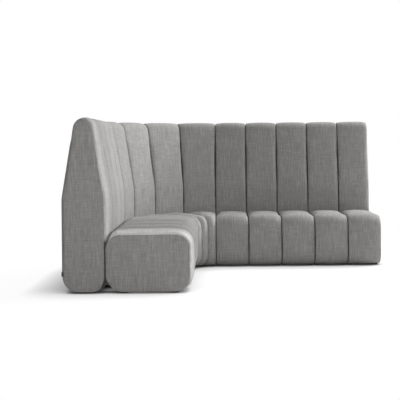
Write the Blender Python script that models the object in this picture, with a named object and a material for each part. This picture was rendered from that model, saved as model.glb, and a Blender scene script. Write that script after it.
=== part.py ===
"""High-backed corner sofa made of upright upholstered slices.

Two straight wings meet in a quarter turn of wedge slices. Every slice has a seat pad and a back pad,
each stretched over its own plywood carcass, and three flat-bar base frames tie the slices together.
"""

import math

import bmesh
import bpy
from mathutils import Matrix

# Plan of the sofa, in metres
SLICE_WIDTH = 0.28
LEFT_SLICES = 4
CORNER_SLICES = 4
RIGHT_SLICES = 5
CORNER_TURN = math.radians(90)
INNER_RADIUS = 0.15
SEAT_DEPTH = 0.60

# Seat pads
SEAT_HEIGHT = 0.44
SEAT_CORNER_RADIUS = 0.10
SEAT_CROWN_RISE = 0.027
SEAT_CROWN_POWER = 2.0
SEAT_TOP_PADDING = 0.12
SEAT_FOOT_RIM = 0.018

# Back pads: upright to the bend, then tapered to a round top
BACK_HEIGHT = 1.24
BACK_THICKNESS = 0.335
BACK_BEND_HEIGHT = 0.665
BACK_BEND_RADIUS = 0.35
BACK_TOP_RADIUS = 0.085
BACK_FOOT_RADIUS = 0.085
BACK_CROWN_RISE = 0.014
BACK_CROWN_POWER = 5.0
END_CROWN_RISE = 0.026
END_CROWN_POWER = 2.5
BACK_TOP_PADDING = 0.14

# Upholstery of both kinds of pad
SIDE_PADDING = 0.018
PAD_CLEARANCE = 0.012

# Plywood carcasses
BOARD = 0.018
BACK_CARCASS_DEPTH = 0.095
BACK_RAILS = 6

# Flat-bar base frames with their glides
BAR_THICKNESS = 0.005
LONG_BAR_WIDTH = 0.05
SEAM_BAR_WIDTH = 0.074
BAR_OPENING_LEAST = 0.018
FRONT_GLIDE_INSET = 0.135
REAR_GLIDE_INSET = 0.11
GLIDE_SEAM_OFFSET = 0.027
GLIDE_DIAMETER = 0.022

# Finishes: colour and roughness
FABRIC_COLOUR = (0.28, 0.275, 0.265)
FABRIC_ROUGHNESS = 0.9
PLYWOOD_COLOUR = (0.56, 0.40, 0.24)
PLYWOOD_ROUGHNESS = 0.6
STEEL_COLOUR = (0.015, 0.015, 0.016)
STEEL_ROUGHNESS = 0.45

# Clearance between pieces that touch, and how far a cutter runs past what it cuts
FIT_GAP = 0.0003
CUT_OVERRUN = 0.01
WELD_DISTANCE = 0.00001

# Facets
CORNER_STEPS = 4
BEND_STEPS = 2
TOP_STEPS = 6
GLIDE_SIDES = 8
CROWN_STATIONS = (-1.0, -0.9, -0.6, 0.0, 0.6, 0.9, 1.0)
SHARP_ANGLE = math.radians(40)

# Values that follow from the driving dimensions
WEDGE_ANGLE = CORNER_TURN / CORNER_SLICES
WEDGE_HALF = WEDGE_ANGLE / 2
BACK_FRONT = INNER_RADIUS + SEAT_DEPTH
BACK_REAR = BACK_FRONT + BACK_THICKNESS
BACK_CENTRE = (BACK_FRONT + BACK_REAR) / 2
SEAT_CARCASS_FRONT = INNER_RADIUS + SEAT_CROWN_RISE + SEAT_CORNER_RADIUS + SEAT_FOOT_RIM
SEAT_CARCASS_REAR = BACK_FRONT - SEAT_CORNER_RADIUS - SEAT_FOOT_RIM
SEAT_CARCASS_TOP = SEAT_HEIGHT - SEAT_TOP_PADDING
BACK_CARCASS_FRONT = BACK_CENTRE - BACK_CARCASS_DEPTH / 2
BACK_CARCASS_REAR = BACK_CENTRE + BACK_CARCASS_DEPTH / 2
BACK_CARCASS_TOP = BACK_HEIGHT - BACK_TOP_PADDING
FRONT_GLIDE_DEPTH = INNER_RADIUS + FRONT_GLIDE_INSET
REAR_GLIDE_DEPTH = BACK_FRONT - REAR_GLIDE_INSET
GLIDE_DEPTHS = (FRONT_GLIDE_DEPTH, REAR_GLIDE_DEPTH, BACK_CENTRE)
BAR_TOP = PAD_CLEARANCE - FIT_GAP
BAR_MIDDLE = BAR_TOP - BAR_THICKNESS / 2
SOFA_CENTRE_X = (RIGHT_SLICES * SLICE_WIDTH - BACK_REAR) / 2
SOFA_CENTRE_Y = (BACK_REAR - LEFT_SLICES * SLICE_WIDTH) / 2

STRAIGHT = "straight"
WEDGE = "wedge"
SIDES = (-1, 1)


def clear_scene():
    """Remove whatever the file holds."""
    for old in list(bpy.data.objects):
        bpy.data.objects.remove(old, do_unlink=True)


def new_material(name, colour, roughness):
    """One Principled material."""
    material = bpy.data.materials.new(name)
    material.use_nodes = True
    shader = material.node_tree.nodes["Principled BSDF"]
    shader.inputs["Base Color"].default_value = (*colour, 1.0)
    shader.inputs["Roughness"].default_value = roughness
    shader.inputs["Metallic"].default_value = 0.0
    return material


def half_width(kind, depth, margin):
    """Half the width of a slice at a depth from the corner centre, less a margin at its side."""
    if kind == WEDGE:
        return depth * math.sin(WEDGE_HALF) - margin / math.cos(WEDGE_HALF)
    return SLICE_WIDTH / 2 - margin


def plan_point(kind, side, depth, margin):
    """A point of a slice's plan: side runs from -1 to 1, depth is measured along its side plane."""
    outward = depth * math.cos(WEDGE_HALF) if kind == WEDGE else depth
    return (side * half_width(kind, depth, margin), outward)


def plan_corners(kind, front, rear, margin):
    """The four corners of a slice's plan between two depths, anticlockwise."""
    return [
        plan_point(kind, -1, front, margin),
        plan_point(kind, 1, front, margin),
        plan_point(kind, 1, rear, margin),
        plan_point(kind, -1, rear, margin),
    ]


def depth_of_opening(kind, margin, opening):
    """The least depth at which a slice, less its margins, is as wide as the opening."""
    if kind == WEDGE:
        return (opening / 2 + margin / math.cos(WEDGE_HALF)) / math.sin(WEDGE_HALF)
    return 0.0


def turned(point, angle):
    """A plan point turned about the corner centre."""
    x, y = point
    return (
        x * math.cos(angle) - y * math.sin(angle),
        x * math.sin(angle) + y * math.cos(angle),
    )


def arc(depth, height, radius, start, end, steps):
    """Points of an arc in the plane of depth and height."""
    points = []
    for step in range(steps + 1):
        angle = start + (end - start) * step / steps
        points.append((depth + radius * math.cos(angle), height + radius * math.sin(angle)))
    return points


def crown_inset(side, rise, power):
    """How far a pad is drawn in at a place across its slice: nothing in the middle, all at the seams."""
    return rise * (1 - (1 - abs(side) ** power) ** (1 / power))


def back_inset(side, free_side):
    """The inset of a back pad, which is rounded more at a free end of the sofa."""
    if side * free_side > 0:
        return crown_inset(side, END_CROWN_RISE, END_CROWN_POWER)
    return crown_inset(side, BACK_CROWN_RISE, BACK_CROWN_POWER)


def seat_outline(side, free_side):
    """Side view of a seat pad at a place across its slice; its rear follows the back pad's front."""
    radius = SEAT_CORNER_RADIUS
    inset = crown_inset(side, SEAT_CROWN_RISE, SEAT_CROWN_POWER)
    front = INNER_RADIUS + inset + radius
    rear = BACK_FRONT + back_inset(side, free_side) - FIT_GAP - radius
    low = PAD_CLEARANCE + radius
    high = SEAT_HEIGHT - inset - radius
    quarter = math.pi / 2
    return (
        arc(rear, low, radius, -quarter, 0.0, CORNER_STEPS)
        + arc(rear, high, radius, 0.0, quarter, CORNER_STEPS)
        + arc(front, high, radius, quarter, 2 * quarter, CORNER_STEPS)
        + arc(front, low, radius, 2 * quarter, 3 * quarter, CORNER_STEPS)
    )


def back_outline(side, free_side):
    """Side view of a back pad at a place across its slice: foot radii, two bends and a round top."""
    inset = back_inset(side, free_side)
    foot = BACK_FOOT_RADIUS
    bend = BACK_BEND_RADIUS
    front = BACK_FRONT + inset
    rear = BACK_REAR - inset
    top_radius = BACK_TOP_RADIUS - inset
    top_centre = BACK_HEIGHT - BACK_TOP_RADIUS
    rise = top_centre - BACK_BEND_HEIGHT
    half = (rear - front) / 2
    taper = math.atan2(half, rise) - math.asin(top_radius / math.hypot(half, rise))
    bend_centre = BACK_BEND_HEIGHT - bend * math.tan(taper / 2)
    low = PAD_CLEARANCE + foot
    quarter = math.pi / 2
    front_taper = 2 * quarter - taper
    return (
        arc(rear - foot, low, foot, -quarter, 0.0, CORNER_STEPS)
        + arc(rear - bend, bend_centre, bend, 0.0, taper, BEND_STEPS)
        + arc(BACK_CENTRE, top_centre, top_radius, taper, front_taper, TOP_STEPS)
        + arc(front + bend, bend_centre, bend, front_taper, 2 * quarter, BEND_STEPS)
        + arc(front + foot, low, foot, 2 * quarter, 3 * quarter, CORNER_STEPS)
    )


def crowned_pad(name, kind, free_side, outline):
    """Loft a pad across its slice, from one flat side panel over the crown to the other."""
    bm = bmesh.new()
    rings = []
    for side in CROWN_STATIONS:
        ring = []
        for depth, height in outline(side, free_side):
            ring.append(bm.verts.new((*plan_point(kind, side, depth, FIT_GAP / 2), height)))
        rings.append(ring)
    for ring, following in zip(rings, rings[1:]):
        for index in range(len(ring)):
            bm.faces.new((ring[index - 1], ring[index], following[index], following[index - 1]))
    bm.faces.new(rings[0])
    bm.faces.new(rings[-1])
    bmesh.ops.recalc_face_normals(bm, faces=bm.faces)
    return finish_bmesh(bm, name)


def prisms(name, outlines, bottom, top):
    """Closed prisms that stand side by side on plan outlines."""
    bm = bmesh.new()
    for corners in outlines:
        floor = bm.faces.new([bm.verts.new((x, y, bottom)) for x, y in corners])
        raised = bmesh.ops.extrude_face_region(bm, geom=[floor])["geom"]
        lifted = [item for item in raised if isinstance(item, bmesh.types.BMVert)]
        bmesh.ops.translate(bm, verts=lifted, vec=(0.0, 0.0, top - bottom))
    bmesh.ops.recalc_face_normals(bm, faces=bm.faces)
    return finish_bmesh(bm, name)


def prism(name, corners, bottom, top):
    """One closed prism on a plan outline."""
    return prisms(name, [corners], bottom, top)


def finish_bmesh(bm, name):
    """Write a bmesh to a new mesh."""
    mesh = bpy.data.meshes.new(name)
    bm.to_mesh(mesh)
    bm.free()
    return mesh


def evaluated_mesh(workpiece):
    """The mesh of an object as its modifiers leave it, welded."""
    depsgraph = bpy.context.evaluated_depsgraph_get()
    mesh = bpy.data.meshes.new_from_object(workpiece.evaluated_get(depsgraph))
    bm = bmesh.new()
    bm.from_mesh(mesh)
    bmesh.ops.remove_doubles(bm, verts=bm.verts, dist=WELD_DISTANCE)
    bm.to_mesh(mesh)
    bm.free()
    return mesh


def combined(base, operation, tools, workshop):
    """The base mesh cut by, or joined with, the tool meshes."""
    workpiece = bpy.data.objects.new(base.name, base)
    workshop.objects.link(workpiece)
    for tool in tools:
        cutter = bpy.data.objects.new(tool.name, tool)
        cutter.hide_render = True
        cutter.display_type = "WIRE"
        workshop.objects.link(cutter)
        boolean = workpiece.modifiers.new(tool.name, "BOOLEAN")
        boolean.operation = operation
        boolean.solver = "EXACT"
        boolean.object = cutter
    mesh = evaluated_mesh(workpiece)
    for used in list(workshop.objects):
        bpy.data.objects.remove(used, do_unlink=True)
    return mesh


def seat_pad(kind, free_side, workshop):
    """Seat pad with the pocket for its carcass, open below."""
    pad = crowned_pad(f"seat_pad_{kind}", kind, free_side, seat_outline)
    corners = plan_corners(kind, SEAT_CARCASS_FRONT, SEAT_CARCASS_REAR, SIDE_PADDING)
    pocket = prism("seat_pocket", corners, PAD_CLEARANCE - CUT_OVERRUN, SEAT_CARCASS_TOP)
    return combined(pad, "DIFFERENCE", [pocket], workshop)


def back_pad(kind, free_side, workshop):
    """Back pad with the pocket for its carcass, open below."""
    pad = crowned_pad(f"back_pad_{kind}", kind, free_side, back_outline)
    corners = plan_corners(kind, BACK_CARCASS_FRONT, BACK_CARCASS_REAR, SIDE_PADDING)
    pocket = prism("back_pocket", corners, PAD_CLEARANCE - CUT_OVERRUN, BACK_CARCASS_TOP)
    return combined(pad, "DIFFERENCE", [pocket], workshop)


def seat_carcass(kind, workshop):
    """Five-sided plywood box, open below: two gables, two rails and a deck."""
    front = SEAT_CARCASS_FRONT + FIT_GAP
    rear = SEAT_CARCASS_REAR - FIT_GAP
    top = SEAT_CARCASS_TOP - FIT_GAP
    margin = SIDE_PADDING + FIT_GAP
    box = prism(f"seat_carcass_{kind}", plan_corners(kind, front, rear, margin), PAD_CLEARANCE, top)
    gable = margin + BOARD
    hollow_front = max(front + BOARD, depth_of_opening(kind, gable, BOARD))
    corners = plan_corners(kind, hollow_front, rear - BOARD, gable)
    hollow = prism("seat_hollow", corners, PAD_CLEARANCE - CUT_OVERRUN, top - BOARD)
    return combined(box, "DIFFERENCE", [hollow], workshop)


def back_carcass(kind, workshop):
    """Upright plywood ladder: two stiles and evenly spaced rails."""
    front = BACK_CARCASS_FRONT + FIT_GAP
    rear = BACK_CARCASS_REAR - FIT_GAP
    top = BACK_CARCASS_TOP - FIT_GAP
    margin = SIDE_PADDING + FIT_GAP
    ladder = prism(f"back_carcass_{kind}", plan_corners(kind, front, rear, margin), PAD_CLEARANCE, top)
    corners = plan_corners(kind, front - CUT_OVERRUN, rear + CUT_OVERRUN, margin + BOARD)
    pitch = (top - BOARD - PAD_CLEARANCE) / (BACK_RAILS - 1)
    windows = []
    for rail in range(BACK_RAILS - 1):
        sill = PAD_CLEARANCE + rail * pitch + BOARD
        head = PAD_CLEARANCE + (rail + 1) * pitch
        windows.append(prism(f"back_window_{rail + 1}", corners, sill, head))
    return combined(ladder, "DIFFERENCE", windows, workshop)


def bar_openings(kind):
    """The two openings that the bars leave under one slice, as plan outlines."""
    margin = SEAM_BAR_WIDTH / 2
    bar = LONG_BAR_WIDTH / 2
    first = max(FRONT_GLIDE_DEPTH + bar, depth_of_opening(kind, margin, BAR_OPENING_LEAST))
    return [
        plan_corners(kind, first, REAR_GLIDE_DEPTH - bar, margin),
        plan_corners(kind, REAR_GLIDE_DEPTH + bar, BACK_CENTRE - bar, margin),
    ]


def glide_points(kind):
    """Plan points of the six glides under one slice."""
    return [plan_point(kind, side, depth, GLIDE_SEAM_OFFSET) for side in SIDES for depth in GLIDE_DEPTHS]


def glides(name, points):
    """Round glides from the floor to the middle of the bars."""
    bm = bmesh.new()
    for x, y in points:
        bmesh.ops.create_cone(
            bm,
            cap_ends=True,
            segments=GLIDE_SIDES,
            radius1=GLIDE_DIAMETER / 2,
            radius2=GLIDE_DIAMETER / 2,
            depth=BAR_MIDDLE,
            matrix=Matrix.Translation((x, y, BAR_MIDDLE / 2)),
        )
    return finish_bmesh(bm, name)


def bar_frame(name, outline, openings, points, workshop):
    """Flat bars in one plane, as a plate with openings, joined with the glides below them."""
    bar_bottom = BAR_TOP - BAR_THICKNESS
    plate = prism(name, outline, bar_bottom, BAR_TOP)
    cutters = prisms("openings", openings, bar_bottom - CUT_OVERRUN, BAR_TOP + CUT_OVERRUN)
    bars = combined(plate, "DIFFERENCE", [cutters], workshop)
    return combined(bars, "UNION", [glides("glides", points)], workshop)


def wing_frame(name, count, outward, workshop):
    """Base frame of a straight wing; outward is 1 where it runs to +X of its own plan, -1 to -X."""
    near = FIT_GAP / 2
    far = count * SLICE_WIDTH - SIDE_PADDING
    front = FRONT_GLIDE_DEPTH - LONG_BAR_WIDTH / 2
    rear = BACK_CENTRE + LONG_BAR_WIDTH / 2
    outline = [(outward * x, y) for x, y in ((near, front), (far, front), (far, rear), (near, rear))]
    openings = []
    points = []
    for index in range(count):
        middle = outward * (index + 0.5) * SLICE_WIDTH
        for opening in bar_openings(STRAIGHT):
            openings.append([(middle + x, y) for x, y in opening])
        points += [(middle + x, y) for x, y in glide_points(STRAIGHT)]
    return bar_frame(name, outline, openings, points, workshop)


def corner_frame(name, workshop):
    """Base frame of the corner: bars along the chords of the wedges and under their seams."""
    def seam_line(depth):
        line = [(-FIT_GAP / 2, depth)]
        for seam in range(1, CORNER_SLICES):
            line.append(turned((0.0, depth), seam * WEDGE_ANGLE))
        line.append(turned((FIT_GAP / 2, depth), CORNER_TURN))
        return line

    front = seam_line(FRONT_GLIDE_DEPTH - LONG_BAR_WIDTH / 2)
    rear = seam_line(BACK_CENTRE + LONG_BAR_WIDTH / 2)
    openings = []
    points = []
    for index in range(CORNER_SLICES):
        angle = (index + 0.5) * WEDGE_ANGLE
        for opening in bar_openings(WEDGE):
            openings.append([turned(point, angle) for point in opening])
        points += [turned(point, angle) for point in glide_points(WEDGE)]
    return bar_frame(name, front + rear[::-1], openings, points, workshop)


def slices():
    """Label, kind, free side, place and turn of every slice; the wings count outwards from the corner."""
    found = []
    for index in range(LEFT_SLICES):
        free_side = -1 if index == LEFT_SLICES - 1 else 0
        shift = -(index + 0.5) * SLICE_WIDTH
        found.append((f"left_{index + 1}", STRAIGHT, free_side, (0.0, shift), CORNER_TURN))
    for index in range(CORNER_SLICES):
        turn = CORNER_TURN - (index + 0.5) * WEDGE_ANGLE
        found.append((f"corner_{index + 1}", WEDGE, 0, (0.0, 0.0), turn))
    for index in range(RIGHT_SLICES):
        free_side = 1 if index == RIGHT_SLICES - 1 else 0
        shift = (index + 0.5) * SLICE_WIDTH
        found.append((f"right_{index + 1}", STRAIGHT, free_side, (shift, 0.0), 0.0))
    return found


def place(name, mesh, material, parent, location, turn, collection):
    """Add a piece to the sofa under the empty at the corner centre."""
    if not mesh.materials:
        mesh.materials.append(material)
    mesh.shade_smooth()
    mesh.set_sharp_from_angle(angle=SHARP_ANGLE)
    piece = bpy.data.objects.new(name, mesh)
    piece.parent = parent
    piece.location = (*location, 0.0)
    piece.rotation_euler = (0.0, 0.0, turn)
    collection.objects.link(piece)


def build_sofa():
    """Make every mesh once, then place the slices and the base frames."""
    clear_scene()
    sofa = bpy.data.collections.new("corner_sofa")
    workshop = bpy.data.collections.new("cutters")
    bpy.context.scene.collection.children.link(sofa)
    bpy.context.scene.collection.children.link(workshop)

    fabric = new_material("grey_woven_fabric", FABRIC_COLOUR, FABRIC_ROUGHNESS)
    plywood = new_material("birch_plywood", PLYWOOD_COLOUR, PLYWOOD_ROUGHNESS)
    steel = new_material("black_coated_steel", STEEL_COLOUR, STEEL_ROUGHNESS)

    corner = bpy.data.objects.new("corner_centre", None)
    corner.location = (-SOFA_CENTRE_X, -SOFA_CENTRE_Y, 0.0)
    sofa.objects.link(corner)

    for piece, maker in (("seat_pad", seat_pad), ("back_pad", back_pad)):
        meshes = {}
        for label, kind, free_side, location, turn in slices():
            if (kind, free_side) not in meshes:
                meshes[kind, free_side] = maker(kind, free_side, workshop)
            place(f"{piece}_{label}", meshes[kind, free_side], fabric, corner, location, turn, sofa)

    for piece, maker in (("seat_carcass", seat_carcass), ("back_carcass", back_carcass)):
        meshes = {kind: maker(kind, workshop) for kind in (STRAIGHT, WEDGE)}
        for label, kind, _, location, turn in slices():
            place(f"{piece}_{label}", meshes[kind], plywood, corner, location, turn, sofa)

    origin = (0.0, 0.0)
    left = wing_frame("base_frame_left", LEFT_SLICES, -1, workshop)
    place("base_frame_left", left, steel, corner, origin, CORNER_TURN, sofa)
    quarter_turn = corner_frame("base_frame_corner", workshop)
    place("base_frame_corner", quarter_turn, steel, corner, origin, 0.0, sofa)
    right = wing_frame("base_frame_right", RIGHT_SLICES, 1, workshop)
    place("base_frame_right", right, steel, corner, origin, 0.0, sofa)


build_sofa()
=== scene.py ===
"""Looks of a high-backed corner sofa: padded woven slices, plywood, coated steel and a studio floor."""

import math

import bmesh
import bpy
from mathutils import Matrix, Vector, noise


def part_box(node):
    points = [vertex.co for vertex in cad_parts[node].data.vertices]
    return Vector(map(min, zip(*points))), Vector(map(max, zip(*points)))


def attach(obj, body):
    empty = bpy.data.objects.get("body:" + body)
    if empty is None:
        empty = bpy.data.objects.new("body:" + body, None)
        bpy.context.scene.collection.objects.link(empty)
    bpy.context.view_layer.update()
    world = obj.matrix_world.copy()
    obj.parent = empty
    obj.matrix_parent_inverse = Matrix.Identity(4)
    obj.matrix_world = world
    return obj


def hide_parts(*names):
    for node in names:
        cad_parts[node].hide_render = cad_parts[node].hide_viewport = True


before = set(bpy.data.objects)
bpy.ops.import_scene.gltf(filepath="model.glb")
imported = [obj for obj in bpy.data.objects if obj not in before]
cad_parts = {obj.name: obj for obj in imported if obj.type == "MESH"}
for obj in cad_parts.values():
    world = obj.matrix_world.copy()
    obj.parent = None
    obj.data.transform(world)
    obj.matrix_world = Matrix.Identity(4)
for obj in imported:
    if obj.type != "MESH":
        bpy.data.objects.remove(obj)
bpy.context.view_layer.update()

# Words for the forms and kinds of pad
SEAT = "seat"
BACK = "back"
STRAIGHT = "straight"
WEDGE = "wedge"
LEFT_END = -1
NO_END = 0
RIGHT_END = 1

# Sizes and places read from the frame, in metres
SEAT_LOW, SEAT_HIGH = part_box("seat_pad_right_1")
BACK_LOW, BACK_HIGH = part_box("back_pad_right_1")
CARCASS_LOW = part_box("seat_carcass_right_1")[0]
SLICE_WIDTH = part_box("seat_pad_right_2")[0].x - SEAT_LOW.x
FIT_GAP = SLICE_WIDTH - (SEAT_HIGH.x - SEAT_LOW.x)
CENTRE_X = SEAT_LOW.x - FIT_GAP / 2
CENTRE_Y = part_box("seat_pad_left_1")[1].y + FIT_GAP / 2
INNER_RADIUS = SEAT_LOW.y - CENTRE_Y
BACK_FRONT = BACK_LOW.y - CENTRE_Y
BACK_REAR = BACK_HIGH.y - CENTRE_Y
BACK_CENTRE = (BACK_FRONT + BACK_REAR) / 2
SEAT_HEIGHT = SEAT_HIGH.z
BACK_HEIGHT = BACK_HIGH.z
PAD_CLEARANCE = SEAT_LOW.z
SIDE_PADDING = CARCASS_LOW.x - CENTRE_X - FIT_GAP
SLICE_COUNTS = {
    run: sum(name.startswith(f"seat_pad_{run}_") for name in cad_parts)
    for run in ("left", "corner", "right")
}
CORNER_TURN = math.radians(90)
WEDGE_ANGLE = CORNER_TURN / SLICE_COUNTS["corner"]
WEDGE_HALF = WEDGE_ANGLE / 2

# Underside of the base frames' flat bars
BAR_THICKNESS = 0.005
BAR_BOTTOM = PAD_CLEARANCE - FIT_GAP - BAR_THICKNESS

# Side views and crowns of the pads
SEAT_CORNER_RADIUS = 0.10
SEAT_FOOT_RADIUS = 0.118
SEAT_REAR_RADIUS = 0.065
SEAT_REAR_ZONE = (0.60, 1.0)
SEAT_CROWN_RISE = 0.027
SEAT_CROWN_POWER = 2.0
BACK_BEND_HEIGHT = 0.665
BACK_BEND_RADIUS = 0.35
BACK_TOP_RADIUS = 0.085
BACK_FOOT_RADIUS = 0.105
BACK_CROWN_RISE = 0.014
BACK_CROWN_POWER = 5.0
END_CROWN_RISE = 0.026
END_CROWN_POWERS = {LEFT_END: 2.5, RIGHT_END: 4.0}
TOP_CROWN_POWER = 2.2

# Covers that differ: the straight slices inside the wings, at their free ends, and the wedges
COVER_KINDS = ((STRAIGHT, NO_END), (STRAIGHT, LEFT_END), (STRAIGHT, RIGHT_END), (WEDGE, NO_END))

# Grid of a cover: shares of the half width from the seam, and the steps along its outline
SEAM_SHARES = (0.0, 0.020, 0.045, 0.09, 0.18, 0.30, 0.45, 0.62, 0.80)
OUTLINE_STEP = 0.010
LEAST_TURN_STEPS = 2
LEAST_RUN_STEPS = 1
SHARP_ANGLE = math.radians(50)

# Cleft between neighbouring slices: its depth, and the share of the half width where it starts
SEAM_CLEFT = 0.016
CLEFT_START = 0.955
CLEFT_POWER = 2

# Sewn seam round the panel at a free end: width and lift of each ring of the panel
SEAM_PULL = 0.0022
MEETING_PULL = 0.0030
MEETING_REACH = 0.05
# Share of the painted shade that each ring of the panel keeps
PANEL_SHADE_FADE = 0.3
PANEL_RINGS = ((0.003, 0.0018), (0.005, 0.0006), (0.009, 0.0004), (0.016, 0.0004), (0.028, 0.0004))

# Zones where a cover is held: distances from its foot, the backs' top, the backs' front and the seats' top
HELD_FOOT = (0.02, 0.10)
HELD_TOP = (-0.22, -0.10)
HELD_REAR = (-0.12, -0.02)
HELD_MEETING = (-0.06, 0.08)

# Swelling of the covers
CLOTH_FRAMES = 20
CLOTH_PRESSURE = 4.0
CLOTH_TENSION = 40.0
CLOTH_BENDING = 2.0
CLOTH_SLACK = {SEAT: 0.005, BACK: 0.004}
SLACK_POWER = 4
CLOTH_CAP = {SEAT: 0.008, BACK: 0.005}
HELD_GROUP = "held"

# Painted highlight on the crown beside the left end's panels: a lighter colour that stands in for light
# falling there
HIGHLIGHT_REACH = 0.13
HIGHLIGHT_EDGE = 0.35
HIGHLIGHT_SHARES = {SEAT: 1.15, BACK: 0.6}
HIGHLIGHT_SIDE = 0.72
HIGHLIGHT_FOOT = (SEAT_CORNER_RADIUS / 2, SEAT_CORNER_RADIUS)

# Unevenness of the finished covers
SEAM_WANDER = 0.0016
SEAM_WANDER_PER_METRE = 5.0
CROWN_SWELL = 0.0014
CROWN_SWELL_PER_METRE = 4.0
SLICE_NOISE_STEP = 7.31
WEAVE_STEP = (0.613, 0.377)

# Painted shade in the left wing's clefts and creases, which is weaker than the right wing's as light falls
# into them there
LEFT_PAINTED_SHADE = 0.15
END_ZONE = (0.80, 0.95)

# Covers painted lighter or darker than the rest: painted light on the left and corner backs and the corner
# seats, painted shade on the left seats, partly a tone that differs from cover to cover
COVER_TONES_AND_PAINTED_LIGHT = {
    (BACK, "left_3"): -0.01,
    (BACK, "left_2"): 0.06,
    (BACK, "left_1"): 0.05,
    (BACK, "corner_1"): 0.03,
    (BACK, "corner_2"): 0.06,
    (BACK, "corner_3"): 0.07,
    (SEAT, "left_3"): -0.14,
    (SEAT, "left_2"): -0.13,
    (SEAT, "left_1"): -0.10,
    (SEAT, "corner_1"): 0.13,
    (SEAT, "corner_2"): 0.18,
    (SEAT, "corner_3"): 0.19,
    (SEAT, "corner_4"): 0.15,
}


def smooth_step(low, high, value):
    """From 0 below low to 1 above high, without a kink."""
    share = min(max((value - low) / (high - low), 0.0), 1.0)
    return share * share * (3 - 2 * share)


def zone_share(start, zone, value):
    """From 0 to 1 through a zone that is given as two distances from a start."""
    return smooth_step(start + zone[0], start + zone[1], value)


def half_width(kind, depth, margin):
    """Half the width of a slice at a depth from the corner centre, less a margin at its side."""
    if kind == WEDGE:
        return depth * math.sin(WEDGE_HALF) - margin / math.cos(WEDGE_HALF)
    return SLICE_WIDTH / 2 - margin


def plan_point(kind, side, depth, margin):
    """A point of a slice's plan: side runs from -1 to 1, depth is measured along its side plane."""
    outward = depth * math.cos(WEDGE_HALF) if kind == WEDGE else depth
    return (side * half_width(kind, depth, margin), outward)


def depth_of(kind, outward):
    """The depth along the side plane of a place at a distance from the corner centre."""
    return outward / math.cos(WEDGE_HALF) if kind == WEDGE else outward


def crown_inset(side, rise, power):
    """How far a pad is drawn in at a place across its slice: nothing in the middle, all at the seams."""
    return rise * (1 - (1 - abs(side) ** power) ** (1 / power))


def cleft_share(side, free_side):
    """How far into the cleft to the next slice a place is, from 0 to 1; a free end has none."""
    if side * free_side > 0:
        return 0.0
    return max(0.0, (abs(side) - CLEFT_START) / (1 - CLEFT_START)) ** CLEFT_POWER


def back_inset(side, free_side, power=BACK_CROWN_POWER):
    """The inset of a back pad, which is rounded more at a free end of the sofa."""
    if side * free_side > 0:
        return crown_inset(side, END_CROWN_RISE, END_CROWN_POWERS[free_side])
    return crown_inset(side, BACK_CROWN_RISE, power)


def seat_arcs(side, free_side):
    """The four corners of a seat pad's side view as arcs: depth, height, radius, start and end angle.

    Its top is pressed up against the back, except at the round corner of a free end's panel.
    """
    radius = SEAT_CORNER_RADIUS
    foot = SEAT_FOOT_RADIUS
    cleft = SEAM_CLEFT * cleft_share(side, free_side)
    inset = crown_inset(side, SEAT_CROWN_RISE, SEAT_CROWN_POWER) + cleft
    front = INNER_RADIUS + inset
    rear = BACK_FRONT + back_inset(side, free_side) - FIT_GAP
    low = PAD_CLEARANCE + foot
    high = SEAT_HEIGHT - inset
    end_share = smooth_step(*SEAT_REAR_ZONE, side * free_side)
    pressed = SEAT_REAR_RADIUS + (radius - SEAT_REAR_RADIUS) * end_share
    quarter = math.pi / 2
    return [
        (rear - foot, low, foot, -quarter, 0.0),
        (rear - pressed, high - pressed, pressed, 0.0, quarter),
        (front + radius, high - radius, radius, quarter, 2 * quarter),
        (front + foot, low, foot, 2 * quarter, 3 * quarter),
    ]


def back_arcs(side, free_side):
    """Foot radii, bends and round top of a back pad's side view as arcs."""
    cleft = SEAM_CLEFT * cleft_share(side, free_side)
    inset = back_inset(side, free_side) + cleft
    foot = BACK_FOOT_RADIUS
    bend = BACK_BEND_RADIUS
    front = BACK_FRONT + inset
    rear = BACK_REAR - inset
    top_radius = BACK_TOP_RADIUS - back_inset(side, free_side, TOP_CROWN_POWER) - cleft
    top_centre = BACK_HEIGHT - BACK_TOP_RADIUS
    rise = top_centre - BACK_BEND_HEIGHT
    half = (rear - front) / 2
    taper = math.atan2(half, rise) - math.asin(top_radius / math.hypot(half, rise))
    bend_centre = BACK_BEND_HEIGHT - bend * math.tan(taper / 2)
    low = PAD_CLEARANCE + foot
    quarter = math.pi / 2
    front_taper = 2 * quarter - taper
    return [
        (rear - foot, low, foot, -quarter, 0.0),
        (rear - bend, bend_centre, bend, 0.0, taper),
        (BACK_CENTRE, top_centre, top_radius, taper, front_taper),
        (front + bend, bend_centre, bend, front_taper, 2 * quarter),
        (front + foot, low, foot, 2 * quarter, 3 * quarter),
    ]


ARCS = {SEAT: seat_arcs, BACK: back_arcs}


def arc_point(arc, share):
    """A point of an arc, from its start at share 0 to its end at share 1."""
    depth, height, radius, start, end = arc
    angle = start + (end - start) * share
    return Vector((depth + radius * math.cos(angle), height + radius * math.sin(angle)))


def step_counts(arcs):
    """How many steps each arc takes, and the straight run from it to the next arc."""
    counts = []
    for arc, following in zip(arcs, arcs[1:] + arcs[:1]):
        radius, start, end = arc[2:]
        turns = round(abs(end - start) * radius / OUTLINE_STEP)
        runs = round((arc_point(following, 0.0) - arc_point(arc, 1.0)).length / OUTLINE_STEP)
        counts.append((max(LEAST_TURN_STEPS, turns), max(LEAST_RUN_STEPS, runs)))
    return counts


def traced(arcs, counts):
    """Points round the outline, in the same number whatever the place across the slice."""
    points = []
    for arc, following, (turns, runs) in zip(arcs, arcs[1:] + arcs[:1], counts):
        points += [arc_point(arc, step / turns) for step in range(turns)]
        leave = arc_point(arc, 1.0)
        meet = arc_point(following, 0.0)
        points += [leave.lerp(meet, step / runs) for step in range(runs)]
    return points


def crown_stations():
    """Places across a slice, from -1 to 1, close together at the seams."""
    near = [share - 1.0 for share in SEAM_SHARES]
    return near + [0.0] + [-side for side in reversed(near)]


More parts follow.
